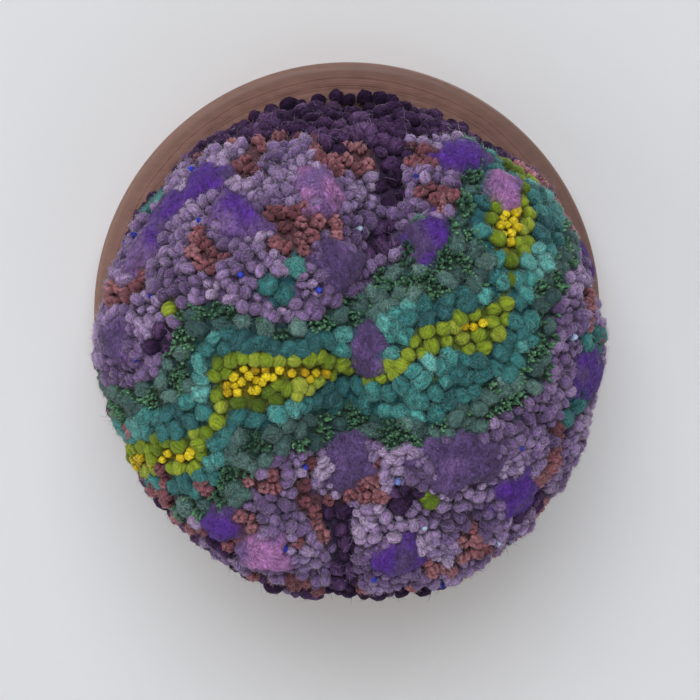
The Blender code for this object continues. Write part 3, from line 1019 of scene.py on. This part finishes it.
# Rust loops
# Small rosettes of four or five terracotta strands that curl out of one hole of the cloth.
# They lie in broken drifts above the dark border, and here and there among the lilac loops.
def tube(path, radii, sides):
    """A round strand along a path: points, faces and fibre coordinates, with both ends closed."""
    points = []
    coordinates = []
    side = (path[1] - path[0]).orthogonal().normalized()
    for number, centre in enumerate(path):
        ahead = path[min(number + 1, len(path) - 1)]
        behind = path[max(number - 1, 0)]
        heading = (ahead - behind).normalized()
        side = (side - heading * side.dot(heading)).normalized()
        up = heading.cross(side)
        for turn in range(sides):
            angle = math.tau * turn / sides
            points.append(centre + (side * math.cos(angle) + up * math.sin(angle)) * radii[number])
            coordinates.append((turn / sides, number / (len(path) - 1)))
    last = (len(path) - 1) * sides
    faces = bands(len(path), sides)
    faces += [tuple(range(sides - 1, -1, -1)), tuple(last + turn for turn in range(sides))]
    return points, faces, coordinates


def rosette(seed, count=4):
    """Thick short strands that rise, lean out and curl back into the middle, as one shape."""
    draw = random.Random(seed)
    points = []
    faces = []
    coordinates = []
    for number in range(count):
        angle = math.tau * (number + draw.uniform(-0.2, 0.2)) / count
        lean = Vector((math.cos(angle), math.sin(angle), 0.0))
        across = Vector((-lean.y, lean.x, 0.0)) * draw.uniform(-0.12, 0.12)
        top = draw.uniform(0.80, 0.90)
        reach = draw.uniform(0.24, 0.32)
        path = [
            lean * reach * 0.8 - across + Vector((0.0, 0.0, 0.40)),
            lean * reach + Vector((0.0, 0.0, 0.80 * top)),
            lean * reach * 0.7 + across + Vector((0.0, 0.0, top)),
            lean * 0.12 + across + Vector((0.0, 0.0, 0.70)),
        ]
        first = len(points)
        part_points, part_faces, part_coordinates = tube(path, [0.17, 0.23, 0.22, 0.15], 4)
        points += part_points
        coordinates += part_coordinates
        faces += [tuple(first + corner for corner in face) for face in part_faces]
    return points, faces, coordinates


rust_shapes = shape_set("rust shape", [rosette(seed, count=4 + seed % 2) for seed in range(5)])
rust_yarn = wool_yarn(
    "terracotta wool", ("#4c2a33", "#683a45", "#84505a", "#a06b73", "#caa1a7"),
    strands=3.0, streak=0.65, tangle=0.6, bloom="#d8a8a4", root="#54343a", relief=0.6,
)
rust = punch(
    "rust_loops", "rust", rust_shapes, rust_yarn, tint_seed=5,
    width=4.6 * MM, size_spread=0.15, lean=0.14, seed=31,
)
brush_up(
    "rust_fibres", rust, short_wisps, rust_yarn, density=2.2e6, lowest_tip=0.7, tint_spread=0.7,
    width=1.2 * MM, height=1.4 * MM, least_lean=0.6, lean=1.3, seed=32,
)


# Teal and green loops
# Thick puffs of loosely spun wool, brushed up so that their strands and a few long wisps blur into
# each other. The teal ones are bright with pale wisps, and the green ones deep and greyed.
puff_shapes = shape_set("puff shape", [
    knob(seed + 20, stretch=1.02 + 0.04 * seed, dent=0.04 * (seed % 3), rough=0.20) for seed in range(6)
])
PUFF_TIP = 0.62


def brushed_puffs(kind, yarn, density, seed, **values):
    """The puffs of one kind of yarn, with their short fibres and long wisps."""
    puffs = punch(f"{kind}_puffs", kind, puff_shapes, yarn, seed=seed, **values)
    brush_up(
        f"{kind}_fibres", puffs, short_wisps, yarn, density=density, lowest_tip=PUFF_TIP, tint_spread=0.6,
        width=1.4 * MM, height=1.7 * MM, least_lean=0.7, lean=1.4, seed=seed + 1,
    )
    brush_up(
        f"{kind}_wisps", puffs, long_wisps, yarn, density=9.0e4, lowest_tip=PUFF_TIP, tint_spread=0.8,
        width=3.0 * MM, height=3.0 * MM, least_lean=0.6, lean=1.3, seed=seed + 3,
    )


teal_yarn = wool_yarn(
    "brushed teal wool", ("#294b53", "#2e6467", "#3d8481", "#63a6a1", "#aed4d0"),
    strands=6.0, speckle=0.4, tangle=0.6, bloom="#8cc8c2", root="#2a575c", relief=0.5,
)
brushed_puffs("teal", teal_yarn, 3.6e6, 41, tint_seed=7, width=5.3 * MM, size_spread=0.12, lean=0.12)
green_yarn = wool_yarn(
    "brushed bottle green wool", ("#2a4244", "#385252", "#4a6762", "#6b8c86", "#acc2bd"),
    strands=6.0, speckle=0.4, tangle=0.6, bloom="#8cb0a8", root="#2b4749", relief=0.5,
)
brushed_puffs("green", green_yarn, 3.8e6, 51, tint_seed=9, width=5.1 * MM, size_spread=0.14, lean=0.14)


# Green boucle
# A thin bright green boucle yarn in tiny tight curls, worked in clusters between the green puffs.
# The curls are cotton, so they are crisper than the wool round them.
BOUCLE_ROOT = 2.9 * MM


def curl(seed):
    """One tight curl of thin yarn, as a bent strand."""
    draw = random.Random(seed)
    start = draw.uniform(0.0, 6.28)
    path = []
    for step in range(5):
        angle = start + step * 1.15
        path.append(Vector((0.22 * math.cos(angle), 0.22 * math.sin(angle), 0.40 + 0.14 * step)))
    return tube(path, [0.16, 0.22, 0.24, 0.23, 0.17], 4)


boucle_shapes = shape_set("boucle shape", [curl(seed) for seed in range(5)])
boucle_yarn = wool_yarn(
    "bright green boucle", ("#264839", "#355d46", "#477653", "#62946a", "#9abf98"),
    strands=4.0, streak=0.5, sheen=0.1, root="#30503f", relief=0.2,
)
punch(
    "boucle_curls", "boucle", boucle_shapes, boucle_yarn, tint_seed=25, share=0.35, root=BOUCLE_ROOT,
    width=1.5 * MM, height=3.2 * MM, size_spread=0.22, lean=0.4, seed=55,
)


# Lime loops
# Round, firm heads of lime wool whose fine fibres arch over the crown.
# Some are pinched in the middle, where the two legs of the loop meet.
lime_shapes = shape_set("lime shape", [
    knob(seed + 40, stretch=1.03 + 0.04 * (seed % 3), dent=0.08 * (seed % 2), rough=0.12) for seed in range(5)
])
lime_yarn = wool_yarn(
    "lime wool", ("#44591a", "#5d731c", "#798b22", "#949d38", "#bec06c"),
    strands=11.0, streak=0.5, bloom="#b0b878", root="#4d5a20",
)
lime = punch(
    "lime_loops", "lime", lime_shapes, lime_yarn, tint_seed=13,
    width=4.4 * MM, size_spread=0.12, lean=0.12, seed=61,
)
brush_up(
    "lime_fibres", lime, short_wisps, lime_yarn, density=2.1e6, lowest_tip=0.64, tint_spread=0.5,
    width=1.2 * MM, height=1.2 * MM, least_lean=0.8, lean=1.25, seed=62,
)


# Yellow knots
# Small tight knots of smooth mercerised yellow thread, folded like petals round a pinched middle.
# They stand a little above the lime loops, and their threads shine.
YELLOW_PROUD = 0.4 * MM
yellow_shapes = shape_set("yellow shape", [
    knob(seed + 60, stretch=1.03, petals=4 + seed % 2, petal_depth=0.15, dent=0.14, rough=0.07, segments=12)
    for seed in range(5)
])
yellow_yarn = wool_yarn(
    "mercerised yellow thread", ("#94720a", "#aa900c", "#baa412", "#ccb622", "#e0d060"),
    strands=6.0, streak=0.6, speckle=0.2, sheen=0.05, roughness=0.45, root="#6a5016", relief=0.25, soft=0.1,
)
punch(
    "yellow_knots", "yellow", yellow_shapes, yellow_yarn, tint_seed=17, share=0.3,
    root=ROOT_DEPTH - YELLOW_PROUD, width=2.6 * MM, size_spread=0.12, lean=0.10, seed=71,
)


# Blue knots
# A few tiny knots of ultramarine thread and of pale blue, that shine like beads, tucked singly
# between the lilac loops. Each is tied off behind the cloth.
BLUE_KNOTS = 26
BLUE_PROUD = 0.3 * MM
blue_shapes = shape_set("blue shape", [knob(seed + 70, stretch=1.02, rough=0.05) for seed in range(2)])
blue_yarn = wool_yarn(
    "shiny blue thread", ("#1d1f7d", "#2733a6", "#3447c4", "#7f96bf", "#9fb2c8"),
    strands=4.0, streak=0.3, sheen=0.05, roughness=0.5, root="#1f1c50", relief=0.15, soft=0.1,
)
among_lilac = np.flatnonzero(yarns == "lilac")
apart = 1.0 / math.sqrt(HOLE_SHARE * BLUE_KNOTS)
picked = among_lilac[settle(places[among_lilac], 1.0, apart, LAYOUT_SEED, rounds=3)]
blue_draw = random.Random(8)
blue_holes = holes(
    "blue holes", places[picked] - outward[picked] * (ROOT_DEPTH - BLUE_PROUD), outward[picked],
    [blue_draw.random() for _ in picked],
)
grow(
    "blue_knots", blue_holes, PILE_TREE, blue_shapes, blue_yarn,
    width=1.9 * MM, height=LOOP_RISE, size_spread=0.15, least_lean=-0.10, lean=0.10, seed=75,
)


# Aubergine loops
# Thick, very dark wool loops that fill the border down to the plate and the ends of the valley.
# The lowest row leans out flat on the plate round the mound's foot, and all have loose fibres.
DARK_SUNK = 0.9 * MM
DARK_RISE = 0.5 * MM
DARK_FUZZ = {
    "density": 4.0e5, "lowest_tip": 0.62, "tint_spread": 0.7, "width": 1.4 * MM, "height": 1.7 * MM,
    "least_lean": 0.8, "lean": 1.3,
}
dark_shapes = shape_set("dark shape", [
    knob(seed + 80, stretch=1.03 + 0.05 * seed, rough=0.13, segments=11) for seed in range(5)
])
dark_yarn = wool_yarn(
    "aubergine wool", ("#1f1228", "#2f1d39", "#412b4c", "#5b4366", "#a792b0"),
    streak=0.9, speckle=0.4, tangle=0.5, sheen=0.15, bloom="#8a6c9a", root="#2e2038", relief=0.5, soft=0.15,
)
aubergine = punch(
    "aubergine_loops", "aubergine", dark_shapes, dark_yarn, tint_seed=19, root=ROOT_DEPTH + DARK_SUNK,
    width=4.3 * MM, height=LOOP_RISE + DARK_RISE, size_spread=0.30, lean=0.20, seed=81,
)
brush_up("aubergine_fibres", aubergine, short_wisps, dark_yarn, seed=82, **DARK_FUZZ)
brush_up(
    "aubergine_wisps", aubergine, long_wisps, dark_yarn, density=9.0e4, lowest_tip=0.62, tint_spread=1.0,
    width=3.6 * MM, height=3.6 * MM, least_lean=1.0, lean=1.3, seed=84,
)

RIM_LOOPS = 92
RIM_ROOT_RADIUS = 59.6 * MM
RIM_LIFT = 2.3 * MM
RIM_TILT = 0.30
rim_draw = random.Random(5)
rim_spots = []
rim_out = []
for number in range(RIM_LOOPS):
    angle = math.tau * (number + rim_draw.uniform(-0.25, 0.25)) / RIM_LOOPS
    across = math.cos(angle)
    up = math.sin(angle)
    rim_out.append(Vector((across, -RIM_TILT * rim_draw.uniform(0.3, 1.2), up)).normalized())
    rim_spots.append(Vector((RIM_ROOT_RADIUS * across, -(PLATE_FLOOR + RIM_LIFT), RIM_ROOT_RADIUS * up)))
rim_holes = holes("rim holes", rim_spots, rim_out, [rim_draw.random() * 0.6 for _ in rim_spots])
rim = grow(
    "rim_loop_row", rim_holes, PILE_TREE, dark_shapes, dark_yarn, slot="dark_wool",
    width=4.1 * MM, height=4.8 * MM, size_spread=0.20, least_lean=-0.16, lean=0.16, seed=91,
)
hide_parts("rim_loops")
brush_up("rim_fibres", rim, short_wisps, dark_yarn, slot="dark_wool", seed=92, **DARK_FUZZ)


# Felt nap
# The felted patches have a short raised nap and a few long hairs, which soften their edges against
# the loops. Both are brushed up from the same wool as the patch under them.
brush_up(
    "felt_nap", mound, short_wisps, felt, density=4.4e6, lowest_tip=0.30, tint_spread=0.9,
    width=1.3 * MM, height=1.7 * MM, least_lean=0.9, lean=1.35, seed=95,
)
brush_up(
    "felt_hairs", mound, long_wisps, felt, density=2.8e5, lowest_tip=0.30, tint_spread=1.0,
    width=2.8 * MM, height=2.8 * MM, least_lean=1.0, lean=1.35, seed=97,
)
